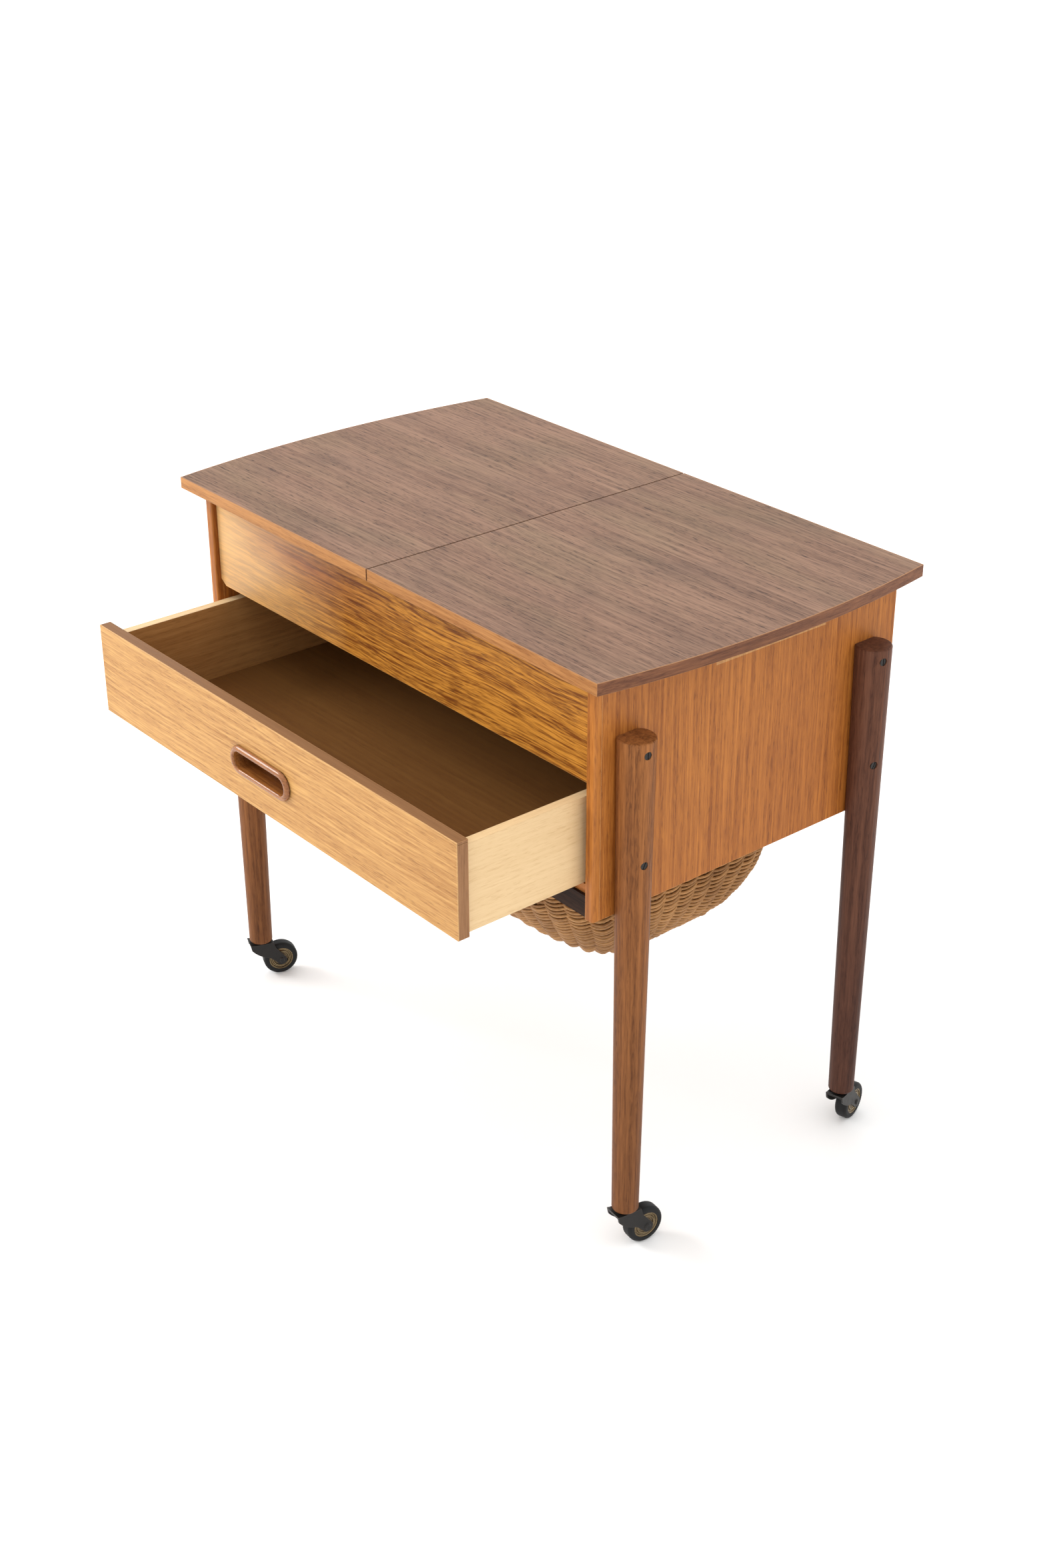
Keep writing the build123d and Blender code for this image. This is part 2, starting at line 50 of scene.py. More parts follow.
camera_data.sensor_fit = "VERTICAL"
camera_data.sensor_height = 36.0
camera = bpy.data.objects.new("camera", camera_data)
bpy.context.scene.collection.objects.link(camera)
camera.matrix_world = (
    Matrix.Translation(camera_place)
    @ Matrix.Rotation(math.radians(azimuth), 4, "Z")
    @ Matrix.Rotation(math.radians(90 - elevation), 4, "X")
    @ Matrix.Rotation(math.radians(roll), 4, "Z")
)
bpy.context.scene.camera = camera
bpy.context.scene.view_settings.view_transform = "Standard"

# ---- light: a white surround, a soft sun and a window, both from the front left ----
surround_strength = 1.32
sun_from, sun_strength, sun_spread = (-0.75, -1.0, 1.25), 0.5, math.radians(70)
window_place, window_target = (-2.4, -1.7, 1.9), (0, -0.27, 0.46)
window_width, window_height, window_power = 1.3, 1.1, 48


def add_light(name, kind, place, target, energy, **settings):
    """A light at place that shines towards target."""
    data = bpy.data.lights.new(name, kind)
    data.energy = energy
    for key, value in settings.items():
        setattr(data, key, value)
    light = bpy.data.objects.new(name, data)
    light.location = place
    light.rotation_euler = (Vector(target) - Vector(place)).to_track_quat("-Z", "Y").to_euler()
    bpy.context.scene.collection.objects.link(light)


add_light("soft_sun", "SUN", sun_from, (0, 0, 0), sun_strength, angle=sun_spread)
add_light("window", "AREA", window_place, window_target, window_power,
          shape="RECTANGLE", size=window_width, size_y=window_height)

world = bpy.data.worlds.new("studio")
world.use_nodes = True
background = world.node_tree.nodes["Background"]
background.inputs["Color"].default_value = (1, 1, 1, 1)
background.inputs["Strength"].default_value = surround_strength
bpy.context.scene.world = world


# ---- building shaders ----
mix_a, mix_b, mix_result = 6, 7, 2  # the Mix node's sockets for colours


class Shader:
    """A material whose nodes are added one by one."""

    def __init__(self, name):
        self.material = bpy.data.materials.new(name)
        self.material.use_nodes = True
        self.tree = self.material.node_tree
        self.surface = self.tree.nodes["Principled BSDF"]
        self.coords = self.add("ShaderNodeTexCoord").outputs["Object"]

    def add(self, kind, inputs=(), **settings):
        """A node with its settings, and its inputs linked or set, by name or number."""
        node = self.tree.nodes.new(kind)
        for key, value in settings.items():
            setattr(node, key, value)
        for key, value in dict(inputs).items():
            self.put(node.inputs[key], value)
        return node

    def put(self, socket, value):
        """Links value to a socket if it is an output, or sets it."""
        if isinstance(value, bpy.types.NodeSocket):
            self.tree.links.new(value, socket)
        elif hasattr(socket.default_value, "__len__") and len(socket.default_value) == 4:
            socket.default_value = (*value, 1)[:4]
        else:
            socket.default_value = value

    def math(self, operation, a, b=0.0, clamp=False):
        """The result of a Math node."""
        node = self.add("ShaderNodeMath", {0: a, 1: b}, operation=operation, use_clamp=clamp)
        return node.outputs[0]

    def centred(self, value, amount):
        """Value about its middle of 0.5, times amount."""
        return self.math("MULTIPLY", self.math("SUBTRACT", value, 0.5), amount)

    def shifted(self, vector, offset):
        """A vector plus an offset."""
        return self.add("ShaderNodeVectorMath", {0: vector, 1: offset}, operation="ADD").outputs[0]

    def stretched(self, scale, vector=None):
        """The object's coordinates, or another vector, scaled along each axis."""
        values = {"Vector": vector or self.coords, "Scale": scale}
        return self.add("ShaderNodeMapping", values).outputs[0]

    def noise(self, vector, scale=1.0, detail=2.0, rough=0.5):
        """A noise from 0 to 1, about 0.5."""
        values = {"Vector": vector, "Scale": scale, "Detail": detail, "Roughness": rough}
        return self.add("ShaderNodeTexNoise", values).outputs["Fac"]

    def level(self, value, low, high):
        """A grey from 0 at low to 1 at high."""
        values = {"Value": value, "From Min": low, "From Max": high}
        return self.add("ShaderNodeMapRange", values, clamp=True).outputs["Result"]

    def mix(self, factor, a, b, blend="MIX"):
        """Colour a, with b over it as far as factor says."""
        inputs = {"Factor": factor, mix_a: a, mix_b: b}
        node = self.add("ShaderNodeMix", inputs, data_type="RGBA", blend_type=blend)
        return node.outputs[mix_result]

    def over(self, color, mask, amount, tint, blend="MIX"):
        """Colour, with an amount of tint over it where mask is 1."""
        return self.mix(self.math("MULTIPLY", mask, amount), color, tint, blend)

    def bump(self, height, distance, strength=1.0):
        """A normal for a surface that rises by distance, in metres, where height is 1."""
        values = {"Height": height, "Distance": distance, "Strength": strength}
        return self.add("ShaderNodeBump", values).outputs["Normal"]

    def edges(self, radius):
        """1 within radius of a sharp edge, 0 elsewhere."""
        rounded = self.add("ShaderNodeBevel", {"Radius": radius}, samples=4).outputs[0]
        normal = self.add("ShaderNodeNewGeometry").outputs["Normal"]
        dot = self.add("ShaderNodeVectorMath", {0: rounded, 1: normal}, operation="DOT_PRODUCT")
        return self.level(dot.outputs["Value"], 0.995, 0.9)  # cosines of how far the edge tilts it

    def facing(self, axis):
        """How much the surface faces along an axis, either way."""
        normal = self.add("ShaderNodeNewGeometry").outputs["Normal"]
        part = self.add("ShaderNodeSeparateXYZ", {0: normal}).outputs["XYZ".index(axis)]
        return self.level(self.math("ABSOLUTE", part), 0.5, 0.8)

    def spot(self, centre, reach):
        """1 at a place, fading to 0 at reach along each axis, with an uneven outline."""
        scale = tuple(1 / r for r in reach)
        offset = tuple(-c for c in centre)
        inside = self.stretched(scale, self.shifted(self.coords, offset))
        distance = self.add("ShaderNodeVectorMath", {0: inside}, operation="LENGTH").outputs["Value"]
        uneven = self.centred(self.noise(inside, scale=1.5, detail=3.0), 1.0)
        return self.level(self.math("ADD", distance, uneven), 1.0, 0.0)

    def finish(self, **sockets):
        """Sets the surface's sockets, written with _ for a space."""
        for key, value in sockets.items():
            self.put(self.surface.inputs[key.replace("_", " ")], value)
        return self.material


# Noise scales of a wood, along its grain and across it, and how much each pattern counts.
wander_scale = 2.5, 7.0  # slow bends of the lines
broad_scale = 1.2, 22.0  # bands of figure
dash_scale = 38.0, 640.0  # short fine dashes
speck_scale = 95.0, 1100.0  # pores
line_stretch = 70.0  # how much longer than wide the growth lines are
broad_weight, line_weight, dash_weight = 2.0, 1.9, 1.6
piece_spread = 7.0  # how far apart in the wood the pieces are cut
grain_relief = 0.00015  # depth of the grain, in metres
wear_and_highlight_width, wear_and_highlight_strength = 0.0009, 0.6  # how far in from an edge the lighter wear and painted highlight reach, and how strong


def along(axis, lengthwise, across):
    """Scale per axis for a grain that runs along axis."""
    return tuple(lengthwise if name == axis else across for name in "XYZ")


def grain(shader, axis, light, dark, pore,
          lines=260.0, contrast=1.0, figure=0.6, pores=0.5, bend=0.01):
    """Straight-grained wood: its colour, its height, and its dashes, which vary the gloss.

    lines is the scale of the growth lines across the grain, and contrast is the strength of
    lines and dashes, figure that of the bands and pores that of the pores. The lines wander by
    bend, in metres.
    """
    piece = shader.add("ShaderNodeObjectInfo").outputs["Random"]
    places = {i: shader.math("MULTIPLY", piece, piece_spread + i) for i in range(3)}
    moved = shader.shifted(shader.coords, shader.add("ShaderNodeCombineXYZ", places).outputs[0])
    wander = shader.noise(shader.stretched(along(axis, *wander_scale), moved), detail=2.0)
    bent = shader.shifted(moved, shader.centred(wander, bend * 2))

    def pattern(lengthwise, across, **settings):
        """Noise along the bent grain."""
        return shader.noise(shader.stretched(along(axis, lengthwise, across), bent), **settings)

    broad = pattern(*broad_scale, detail=3.0)
    line = pattern(lines / line_stretch, lines, detail=2.0, rough=0.6)
    dash = pattern(*dash_scale, detail=2.0, rough=0.6)
    speck = pattern(*speck_scale, detail=1.0)
    broad_part = shader.centred(broad, broad_weight * figure)
    line_part = shader.centred(line, line_weight * contrast)
    dash_part = shader.centred(dash, dash_weight * contrast)
    tone = shader.math("ADD", shader.math("ADD", broad_part, line_part), dash_part)
    color = shader.mix(shader.math("ADD", tone, 0.5, clamp=True), dark, light)
    in_speck, in_line = shader.level(speck, 0.55, 0.66), shader.level(line, 0.62, 0.42)
    pore_mask = shader.math("MULTIPLY", in_speck, in_line)
    color = shader.over(color, pore_mask, pores, pore)
    height = shader.math("SUBTRACT", shader.math("MULTIPLY", dash, 0.5), pore_mask)
    return color, height, dash


def wood_finish(shader, color, height, dash, rough=0.5, shine=0.25, worn=None):
    """Oiled or lacquered surface over a wood's colour, with edges lightened to another colour by wear
    and by a painted highlight.
    """
    if worn:
        color = shader.over(color, shader.edges(wear_and_highlight_width), wear_and_highlight_strength, worn)
    return shader.finish(
        Base_Color=color,
        Roughness=shader.math("ADD", shader.centred(dash, 0.25), rough),
        Specular_IOR_Level=shine,
        Normal=shader.bump(height, grain_relief, 0.4),
    )


def wood(name, axis, light, dark, pore, worn=None, rough=0.5, shine=0.25, **pattern):
    """A wood that is the same on every face of a piece."""
    shader = Shader(name)
    color, height, dash = grain(shader, axis, light, dark, pore, **pattern)
    return wood_finish(shader, color, height, dash, rough, shine, worn)


# ---- woods: the light, dark and pore colour of each, in linear RGB ----
top_tones = (0.28, 0.163, 0.107), (0.158, 0.083, 0.053), (0.055, 0.03, 0.022)
apron_tones = (0.55, 0.23, 0.032), (0.17, 0.048, 0.006), (0.07, 0.02, 0.004)
case_tones = (0.48, 0.172, 0.030), (0.25, 0.072, 0.010), (0.12, 0.033, 0.006)
pale_tones = (0.62, 0.33, 0.12), (0.42, 0.19, 0.06), (0.25, 0.1, 0.03)
edge_tones = (0.47, 0.215, 0.068), (0.30, 0.12, 0.035), (0.15, 0.055, 0.018)
brown_tones = (0.22, 0.09, 0.042), (0.11, 0.042, 0.022), (0.06, 0.022, 0.012)
tan_tones = (0.30, 0.15, 0.068), (0.17, 0.074, 0.03), (0.09, 0.035, 0.015)
front_tones = (0.57, 0.315, 0.105), (0.35, 0.155, 0.038), (0.19, 0.075, 0.018)
leg_tones = (0.35, 0.134, 0.040), (0.15, 0.051, 0.015), (0.06, 0.02, 0.008)
handle_tones = (0.38, 0.145, 0.036), (0.17, 0.055, 0.013), (0.08, 0.025, 0.007)
# The rear legs get darker tones of the leg wood as painted shade.
painted_shade_rear_tones = (0.16, 0.065, 0.036), (0.07, 0.026, 0.015), (0.035, 0.012, 0.008)
beech_tones = (0.76, 0.56, 0.32), (0.62, 0.42, 0.21), (0.48, 0.28, 0.12)
stain_tones = (0.50, 0.255, 0.085), (0.34, 0.155, 0.045), (0.2, 0.085, 0.025)
ply_tones = (0.21, 0.094, 0.025), (0.15, 0.058, 0.015), (0.09, 0.034, 0.009)
# The basket rails: near-black tones that paint the shade under the drawer.
painted_shade_rail_tones = (0.05, 0.026, 0.017), (0.022, 0.012, 0.009), (0.012, 0.007, 0.005)
# Lighter edge colours of the woods: wear, with a painted highlight along the arris.
orange_wear_and_highlight = (0.60, 0.32, 0.12)
apron_wear_and_highlight = (0.6, 0.33, 0.12)
front_wear_and_highlight = (0.7, 0.46, 0.22)
beech_wear_and_highlight = (0.55, 0.38, 0.2)
leaf_trim = (0.28, 0.135, 0.06), (0.40, 0.20, 0.085)  # top, and edges lightened by wear and a painted highlight, of the leaf strips
drawer_trim = (0.20, 0.092, 0.033), (0.45, 0.24, 0.10)  # the same of the drawer strips


def teak_top():
    """Matte, greyed top veneer with greenish clouds and darker patches."""
    shader = Shader("teak_top")
    color, height, dash = grain(
        shader, "X", *top_tones, lines=400.0, contrast=1.1, figure=0.45, pores=0.9
    )
    green, grey = (0.82, 1.0, 0.86), (0.66, 0.68, 0.72)
    cloud = shader.noise(shader.stretched((5.0, 14.0, 14.0)), detail=3.0)
    patch = shader.noise(shader.stretched((9.0, 16.0, 16.0)), detail=4.0)
    color = shader.over(color, shader.level(cloud, 0.45, 0.75), 0.5, green, "MULTIPLY")
    color = shader.over(color, shader.level(patch, 0.5, 0.75), 0.6, grey, "MULTIPLY")
    return wood_finish(shader, color, height, dash, rough=0.6, shine=0.2)


def edge_strip(name, end_axis, end_tones, side_tones, top, worn):
    """Edge strips with tones and grain of their own on the ends, and a colour on their top."""
    shader = Shader(name)
    side, height, dash = grain(shader, "X", *side_tones)
    end, _, _ = grain(shader, end_axis, *end_tones)
    color = shader.mix(shader.facing("X"), side, end)
    color = shader.over(color, shader.facing("Z"), 0.7, top)
    return wood_finish(shader, color, height, dash, rough=0.45, shine=0.15, worn=worn)


def teak_apron():
    """Golden, strongly lined front board with painted light brightening its left end, and a dark
    reddish cloud left of its middle.
    """
    shader = Shader("teak_apron")
    low, high = (Vector(corner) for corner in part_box("front_apron"))
    color, height, dash = grain(
        shader, "X", *apron_tones, lines=420.0, contrast=1.5, figure=0.45, bend=0.02
    )
    painted_light_gold, reddish = (0.80, 0.50, 0.22), (0.45, 0.30, 0.5)
    # Painted light: the board's left end is brightened towards gold, where the lamps light it most.
    painted_light_left_end = shader.spot((low.x, low.y, (low.z + high.z) / 2), (0.26, 0.3, 0.25))
    cloud = shader.spot((low.x * 0.42, low.y, high.z - 0.035), (0.16, 0.3, 0.05))
    color = shader.over(color, painted_light_left_end, 0.7, painted_light_gold)
    color = shader.over(color, cloud, 0.8, reddish, "MULTIPLY")
    return wood_finish(shader, color, height, dash, rough=0.4, worn=apron_wear_and_highlight)


def teak_side():
    """Orange side panel with fine upright grain, painted shade towards its lower back, and a pale face
    cut by the finger scoop.
    """
    shader = Shader("teak_side")
    straight = {"lines": 330.0, "contrast": 0.85, "figure": 0.2, "bend": 0.003}
    color, height, dash = grain(shader, "Z", *case_tones, **straight)
    pale, _, _ = grain(shader, "Z", *pale_tones, **straight)
    normal = shader.add("ShaderNodeNewGeometry").outputs["Normal"]
    upward = shader.add("ShaderNodeSeparateXYZ", {0: normal}).outputs["Z"]
    low, high = (Vector(corner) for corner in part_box("side_panel_right"))
    # Painted shade: the panel darkens towards its lower back corner.
    painted_shade_lower_back = shader.spot((high.x, high.y, low.z), (0.5, 0.34, 0.2))
    color = shader.over(color, painted_shade_lower_back, 0.7, (0.8, 0.68, 0.55), "MULTIPLY")
    color = shader.mix(shader.level(upward, 0.05, 0.12), color, pale)
    return wood_finish(shader, color, height, dash, worn=orange_wear_and_highlight)


def teak_leg(name, tones):
    """Straight-grained wood with painted shade that deepens towards the foot."""
    shader = Shader(name)
    color, height, dash = grain(shader, "Z", *tones, contrast=0.9, figure=0.4, lines=240.0, bend=0.002)
    height_above_floor = shader.add("ShaderNodeSeparateXYZ", {0: shader.coords}).outputs["Z"]
    # Painted shade: darker and cooler towards the floor.
    painted_shade_low_down = shader.level(height_above_floor, 0.5, 0.1)
    color = shader.mix(painted_shade_low_down, color, (0.6, 0.6, 0.68), "MULTIPLY")
    return wood_finish(shader, color, height, dash, shine=0.12)


def teak_handle():
    """Lacquered handle with painted shade inside its cup."""
    shader = Shader("teak_handle")
    color, height, dash = grain(shader, "X", *handle_tones, contrast=0.8)
    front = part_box("drawer_handle")[0][1]
    # Painted shade: darker from a little behind the handle's front, inside the cup.
    depth = shader.add("ShaderNodeSeparateXYZ", {0: shader.coords}).outputs["Y"]
    inside = shader.level(depth, front + 0.003, front + 0.012)
    color = shader.mix(inside, color, (0.5, 0.42, 0.36), "MULTIPLY")
    return wood_finish(shader, color, height, dash, rough=0.17, shine=0.45)


def drawer_beech():
    """Pale beech that is stained brown on the faces inside the drawer."""
    shader = Shader("drawer_beech")
    color, height, dash = grain(shader, "Y", *beech_tones, contrast=0.35, figure=0.3, pores=0.3)
    stained, _, _ = grain(shader, "Y", *stain_tones, contrast=0.7, figure=0.4, pores=0.3)
    normal = shader.add("ShaderNodeNewGeometry").outputs["Normal"]
    across = shader.add("ShaderNodeSeparateXYZ", {0: normal}).outputs["X"]
    place = shader.add("ShaderNodeSeparateXYZ", {0: shader.coords}).outputs["X"]
    outward = shader.math("MULTIPLY", across, shader.math("SIGN", place))  # -1 on inner faces
    color = shader.mix(shader.level(outward, -0.5, -0.8), color, stained)
    return wood_finish(shader, color, height, dash, worn=beech_wear_and_highlight)


materials = {
    "teak_top": teak_top(),
    "teak_side": teak_side(),
    "teak_back": wood("teak_back", "X", *case_tones, worn=orange_wear_and_highlight, contrast=0.8, figure=0.4),
    "teak_apron": teak_apron(),
    "teak_front": wood("teak_front", "X", *front_tones, worn=front_wear_and_highlight, figure=0.3, lines=330.0),
    "leaf_strip": edge_strip("leaf_strip", "Y", brown_tones, edge_tones, *leaf_trim),
    "drawer_strip": edge_strip("drawer_strip", "Z", tan_tones, tan_tones, *drawer_trim),
    "teak_strip": wood("teak_strip", "Z", *case_tones, worn=orange_wear_and_highlight, lines=180.0, bend=0.003),
    "teak_leg": teak_leg("teak_leg", leg_tones),
    # Rear legs: the leg wood, darkened as painted shade.
    "painted_shade_rear_leg": teak_leg("painted_shade_rear_leg", painted_shade_rear_tones),
    "teak_handle": teak_handle(),
    # Basket rails, coloured as dark as the shade they sit in: painted shade.
    "dark_rail": wood("dark_rail", "X", *painted_shade_rail_tones, shine=0.05),
    "beech": wood("beech", "Y", *beech_tones, worn=beech_wear_and_highlight, contrast=0.5, figure=0.4, pores=0.3),
    "drawer_beech": drawer_beech(),
    "plywood": wood("plywood", "X", *ply_tones, contrast=0.6, figure=0.5, pores=0.2, rough=0.45),
}


# ---- metal, rubber, paint and wicker ----
rubbed_and_glint_width = 0.0007


def plain(name, color, rough, metallic=0.0, uneven=0.25, scale=180.0, shine=0.3, rubbed_and_glint=None):
    """A painted, moulded or metal surface with uneven tone and gloss, and maybe edges lightened by
    rubbing and by painted glints.
    """
    shader = Shader(name)
    cloud = shader.noise(shader.coords, scale=scale, detail=4.0, rough=0.6)
    dark = tuple(c * (1 - uneven) for c in color)
    bright = tuple(min(1, c * (1 + uneven)) for c in color)
    tone = shader.mix(cloud, dark, bright)
    if rubbed_and_glint:
        tone = shader.mix(shader.edges(rubbed_and_glint_width), tone, rubbed_and_glint)
    return shader.finish(
        Base_Color=tone,
        Roughness=shader.math("ADD", shader.centred(cloud, 0.25), rough),
        Metallic=metallic,
        Specular_IOR_Level=shine,
        Normal=shader.bump(cloud, 0.0001, 0.5),
    )


def wicker():
    """Willow whose strands each have a tone of their own, with fibres and darker patches."""
    shader = Shader("wicker")
    dark, light = (0.22, 0.098, 0.030), (0.47, 0.24, 0.085)
    strand = shader.add("ShaderNodeNewGeometry").outputs["Random Per Island"]
    fibre = shader.noise(shader.coords, scale=300.0, detail=3.0)
    patch = shader.noise(shader.coords, scale=16.0, detail=2.0)
    tone = shader.math("ADD", shader.centred(strand, 0.5), shader.centred(fibre, 1.0))
    tone = shader.math("ADD", tone, shader.centred(patch, 1.2))
    color = shader.mix(shader.math("ADD", tone, 0.5, clamp=True), dark, light)
    return shader.finish(
        Base_Color=color,
        Roughness=0.55,
        Specular_IOR_Level=0.3,
        Normal=shader.bump(fibre, 0.0003, 0.5),
    )


steel = {"metallic": 0.3, "rubbed_and_glint": (0.06, 0.052, 0.046)}
# Painted glints: the brass hub's edges are bright against its dark face.
brass = {"metallic": 0.9, "rubbed_and_glint": (0.62, 0.47, 0.25)}
materials["dark_steel"] = plain("dark_steel", (0.016, 0.0145, 0.0135), 0.4, **steel)
materials["rubber"] = plain("rubber", (0.009, 0.0092, 0.0095), 0.55, scale=90.0, shine=0.2)
materials["hub_brass"] = plain("hub_brass", (0.085, 0.06, 0.036), 0.3, **brass)
materials["wicker"] = wicker()

# ---- which CAD node gets which material: the first start that fits its name counts ----
by_start = {
    "leaf_left": "teak_top",
    "leaf_right": "teak_top",
    "leaf_edge_strip": "leaf_strip",
    "leaf_runners": "beech",
    "leaf_guide": "beech",
    "side_panel": "teak_side",
    "panel_front_strip": "teak_strip",
    "front_apron": "teak_apron",
    "back_panel": "teak_back",
    "cross_rail": "teak_back",
    "compartment_floor": "plywood",
    "tray_ledge": "beech",
    "drawer_runner": "beech",
    "basket_runner": "beech",
    "leg_screws": "dark_steel",
    "leg_rear": "painted_shade_rear_leg",
    "leg_": "teak_leg",
    "drawer_front": "teak_front",
    "drawer_edge_strips": "drawer_strip",
    "drawer_handle": "teak_handle",
    "drawer_side": "drawer_beech",
    "drawer_back": "beech",
    "drawer_bottom": "plywood",
    "basket_front_rail": "dark_rail",
    "basket_back_rail": "dark_rail",
    "basket_side_rail": "dark_rail",
    "wicker_basket": "wicker",
    "spool_tray_bottom": "plywood",
    "divided_tray_bottom": "plywood",
    "spool_tray_frame": "beech",
    "divided_tray_frame": "beech",
    "spool_pegs": "beech",
    "tray_dividers": "beech",
    "caster_fork": "dark_steel",
    "caster_sockets": "dark_steel",
    "caster_hub": "hub_brass",
    "caster_tyre": "rubber",
}

for name, node in nodes.items():
    start = next(key for key in by_start if name.startswith(key))
    node.data.materials.clear()
    node.data.materials.append(materials[by_start[start]])


def ease(node, width):
    """Rounds the sharp edges of a CAD node a little."""
    weld = node.modifiers.new("weld", "WELD")
    weld.merge_threshold = 1e-5
    bevel = node.modifiers.new("bevel", "BEVEL")
    bevel.width = width
    bevel.segments = 4
    bevel.use_clamp_overlap = False  # short edges would clamp the bevel to nothing
    bevel.limit_method = "ANGLE"
    bevel.angle_limit = math.radians(35)


handle_easing = 0.0019
ease(nodes["drawer_handle"], handle_easing)


# ---- woven basket ----
class Weave:
    """Tubes gathered into one mesh, each a closed ring or an open strand."""

    def __init__(self):
        self.points = []
        self.faces = []
        self.count = 0

    def tube(self, path, radius, sides=6, closed=False):
        """A tube of a radius around the points of path."""
        count = len(path)
        ahead = np.roll(path, -1, axis=0) - np.roll(path, 1, axis=0)
        if not closed:
            ahead = np.gradient(path, axis=0)
        ahead /= np.linalg.norm(ahead, axis=1)[:, None]
        reference = np.where(np.abs(ahead[:, 2:3]) > 0.9, (1.0, 0.0, 0.0), (0.0, 0.0, 1.0))
        side = np.cross(ahead, reference)
        side /= np.linalg.norm(side, axis=1)[:, None]
        rise = np.cross(side, ahead)
        turn = (np.arange(sides) * 2 * math.pi / sides)[None, :, None]
        ring = path[:, None] + radius * (np.cos(turn) * side[:, None] + np.sin(turn) * rise[:, None])
        self.points.append(ring.reshape(-1, 3))
        last = count if closed else count - 1
        for i in range(last):
            here = self.count + i * sides
            there = self.count + (i + 1) % count * sides
            for j in range(sides):
                k = (j + 1) % sides
                self.faces.append((here + j, here + k, there + k, there + j))
        if not closed:
            self.faces.append(tuple(self.count + j for j in reversed(range(sides))))
            self.faces.append(tuple(self.count + last * sides + j for j in range(sides)))
        self.count += count * sides

    def object(self, name):
        """The tubes as one smooth-shaded object."""
        mesh = bpy.data.meshes.new(name)
        mesh.from_pydata(np.concatenate(self.points).tolist(), [], self.faces)
        mesh.polygons.foreach_set("use_smooth", [True] * len(mesh.polygons))
        piece = bpy.data.objects.new(name, mesh)
        bpy.context.scene.collection.objects.link(piece)
        return piece


basket_low, basket_high = (np.array(corner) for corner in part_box("wicker_basket"))
rim_height = 0.016  # the wall is upright over this height, down to its shoulder
shoulder = basket_high[2] - rim_height
bottom_level = 0.96  # the bowl is cut flat at this part of its full depth
end_power, front_power, back_power, plan_power = 3.0, 1.7, 2.2, 5.0  # how square each curve is
strand_radius = 0.0017
stake_radius = 0.0015
stake_count = 64
samples = 6  # points from one stake to the next
row_pitch = 0.0054
stick_pitch = 0.024  # of the sticks across the bottom
swing = stake_radius + strand_radius  # from the middle of a stake to that of a strand beside it
stake_inset = swing + strand_radius  # from the outside of the basket to the middle of its stakes
row_waver = 0.00025  # how uneven the rows' heights are, in metres
swing_waver, radius_waver = 0.1, 0.08  # how uneven the strands are, as parts of swing and radius
fine_rim, fine_wall = 20001, 4001  # points along the rim and down the wall, for measuring them
stake_points, stick_points, strand_points = 44, 12, 70
seed = 11


def power(value, exponent):
    """Value to a power, with its sign kept."""
    return np.sign(value) * np.abs(value) ** exponent


def bowl(turn, fraction, inset=0.0):
    """Points on the bowl at angles turn, a fraction of the way down from its shoulder."""
    fraction = np.clip(fraction, 0, 0.999)  # at 1 the bowl shrinks to a point
    turn, fraction = np.broadcast_arrays(np.asarray(turn, float), fraction)
    half = (basket_high - basket_low) / 2
    middle = (basket_high + basket_low) / 2
    depth = (shoulder - basket_low[2]) / bottom_level
    cos, sin = np.cos(turn), np.sin(turn)
    y_power = np.where(sin < 0, front_power, back_power)
    shrink_x = (1 - fraction**end_power) ** (1 / end_power)
    shrink_y = (1 - fraction**y_power) ** (1 / y_power)
    x = middle[0] + (half[0] * shrink_x - inset) * power(cos, 2 / plan_power)
    y = middle[1] + (half[1] * shrink_y - inset) * power(sin, 2 / plan_power)
    return np.stack([x, y, shoulder - depth * fraction], axis=-1)


def lengths(points):
    """Distance along a line of points, from its start."""
    return np.concatenate([[0], np.cumsum(np.linalg.norm(np.diff(points, axis=0), axis=1))])


def even_turns(count):
    """Angles that divide the rim of the basket into equal lengths."""
    fine = np.linspace(0, 2 * math.pi, fine_rim)
    length = lengths(bowl(fine, 0.0))
    return np.interp(np.arange(count) / count * length[-1], length, fine)


def row_fractions():
    """How far down each row lies, with rows a pitch apart on the wall."""
    fine = np.linspace(0, bottom_level, fine_wall)
    length = (lengths(bowl(-math.pi / 2, fine)) + lengths(bowl(0.0, fine))) / 2
    return np.interp(np.arange(0, length[-1], row_pitch), length, fine)


def wall_normal(turn, fraction):
    """Outward direction of the basket's wall."""
    step = 1e-3
    around = bowl(turn + step, fraction) - bowl(turn - step, fraction)
    down = bowl(turn, fraction + step) - bowl(turn, np.maximum(fraction - step, 0))
    normal = np.cross(down, around)
    return normal / np.linalg.norm(normal, axis=-1)[..., None]


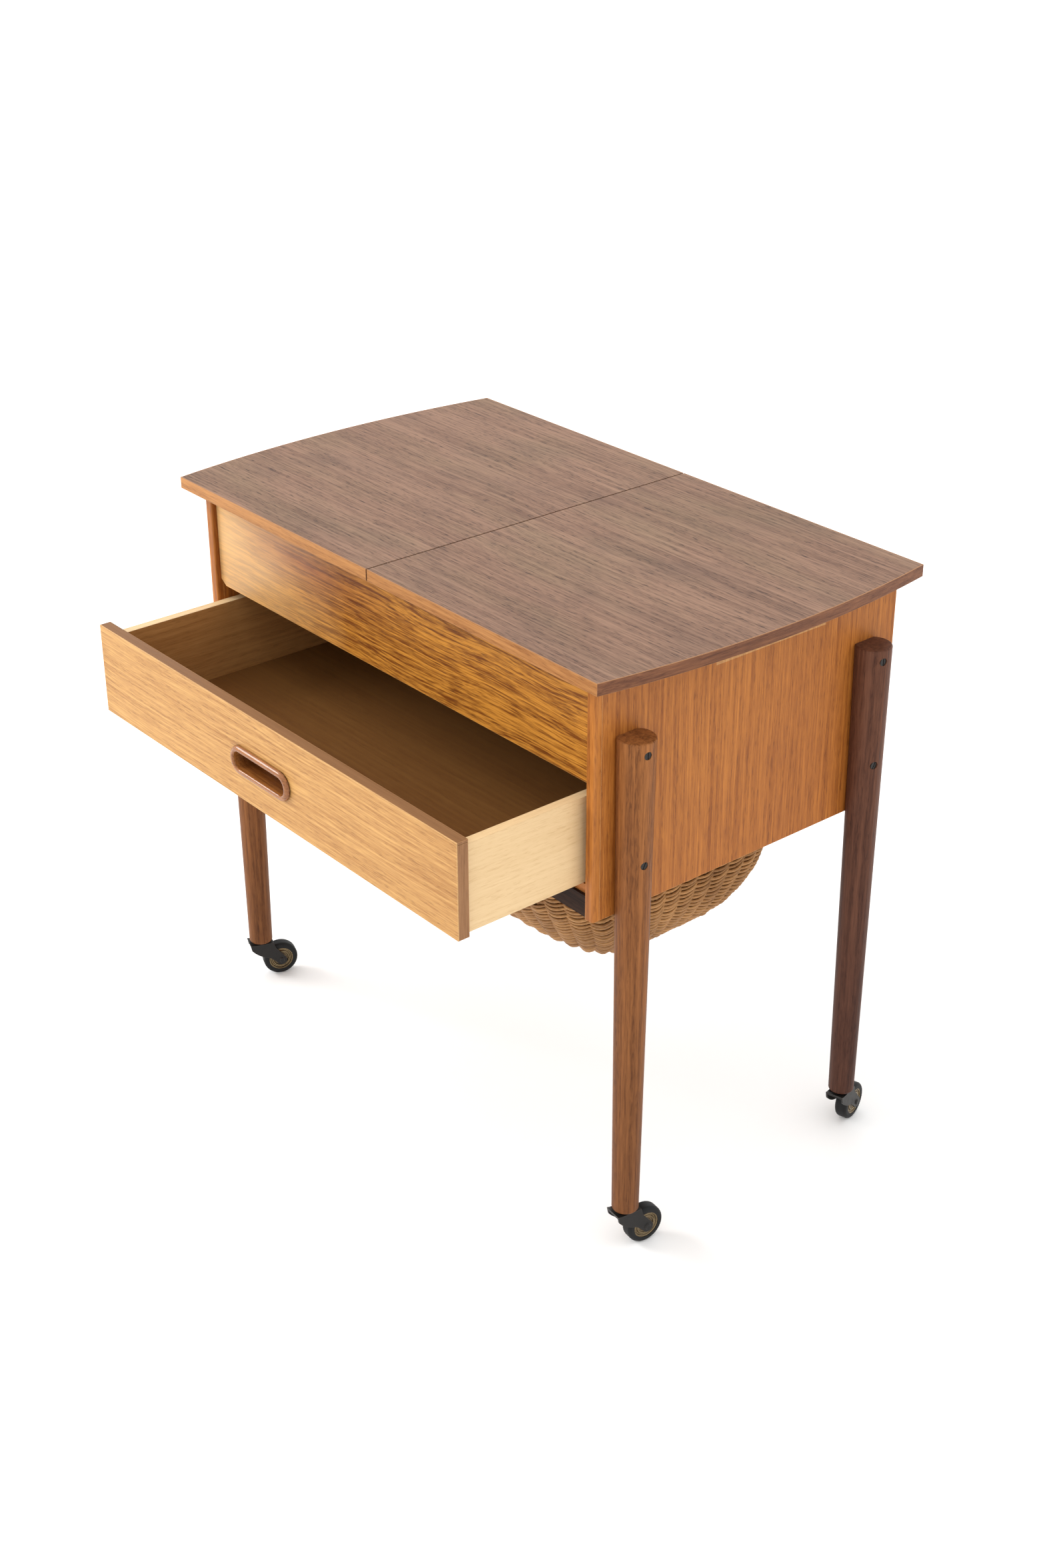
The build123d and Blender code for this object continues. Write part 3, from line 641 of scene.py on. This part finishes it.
def weave_wall(weave, turns):
    """Rows of paired strands that twist half a turn around each other from stake to stake."""
    spread = np.random.default_rng(seed)
    places = np.arange(len(turns)) / samples  # whole numbers are at the stakes
    twist = places * math.pi
    fractions = row_fractions()
    rim_rows = int(rim_height / row_pitch)

    def uneven(amount):
        """A random value around the basket, with one draw for each stake."""
        draws = spread.normal(size=stake_count) * amount
        return np.interp(places, np.arange(stake_count + 1), np.append(draws, draws[0]))

    for row in range(-rim_rows, len(fractions)):
        fraction = fractions[max(row, 0)]
        line = bowl(turns, fraction, stake_inset)
        line[:, 2] += max(-row, 0) * row_pitch + uneven(row_waver)
        normal = wall_normal(turns, max(fraction, 0.004))  # it isn't defined at the very shoulder
        for start in (0, math.pi):
            out = swing * (1 + uneven(swing_waver)) * np.cos(twist + start)
            path = line + normal * out[:, None]
            path[:, 2] += strand_radius * np.sin(twist + start)
            weave.tube(path, strand_radius * (1 + radius_waver * spread.normal()), closed=True)


def weave_stakes_and_rim(weave, turns):
    """Stakes from the rim down to the bottom, and a thick closed rod over their tops."""
    run = np.linspace(0, bottom_level, stake_points)
    for turn in even_turns(stake_count):
        path = bowl(turn, run, stake_inset)
        top = path[0] + (0, 0, basket_high[2] - stake_radius - shoulder)
        weave.tube(np.concatenate([[top], path]), stake_radius)
    rim = bowl(turns, 0.0, stake_inset)
    rim[:, 2] = basket_high[2] - 2 * strand_radius
    weave.tube(rim, 2 * strand_radius, closed=True)


def weave_bottom(weave, turns):
    """Sticks across the bottom, with strands close together that pass over and under them."""
    edge = bowl(turns, bottom_level, stake_inset)
    low, high = edge.min(axis=0), edge.max(axis=0)
    first = low[0] + stick_pitch / 2
    level = low[2] + swing
    ys = np.linspace(low[1], high[1], stick_points)
    for x in np.arange(first, high[0], stick_pitch):
        weave.tube(np.stack(np.broadcast_arrays(x, ys, level), axis=-1), stake_radius)
    xs = np.linspace(low[0], high[0], strand_points)
    for i, y in enumerate(np.arange(low[1], high[1], 2 * strand_radius)):
        wave = swing * np.cos((xs - first) / stick_pitch * math.pi + i * math.pi)
        weave.tube(np.stack(np.broadcast_arrays(xs, y, level + wave), axis=-1), strand_radius)


def make_basket():
    """The whole basket as one object."""
    weave = Weave()
    turns = even_turns(stake_count * samples)
    weave_wall(weave, turns)
    weave_stakes_and_rim(weave, turns)
    weave_bottom(weave, turns)
    return weave.object("woven_basket")


woven = make_basket()
woven.data.materials.append(materials["wicker"])
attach(woven, "basket")
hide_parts("wicker_basket")

# ---- floor ----
floor_size = 80
bpy.ops.mesh.primitive_plane_add(size=floor_size, location=(0, 0, 0))
floor = bpy.context.object
floor.name = "floor"
floor.data.materials.append(plain("floor_paint", (0.95, 0.945, 0.935), 0.7, uneven=0.01, scale=3.0))
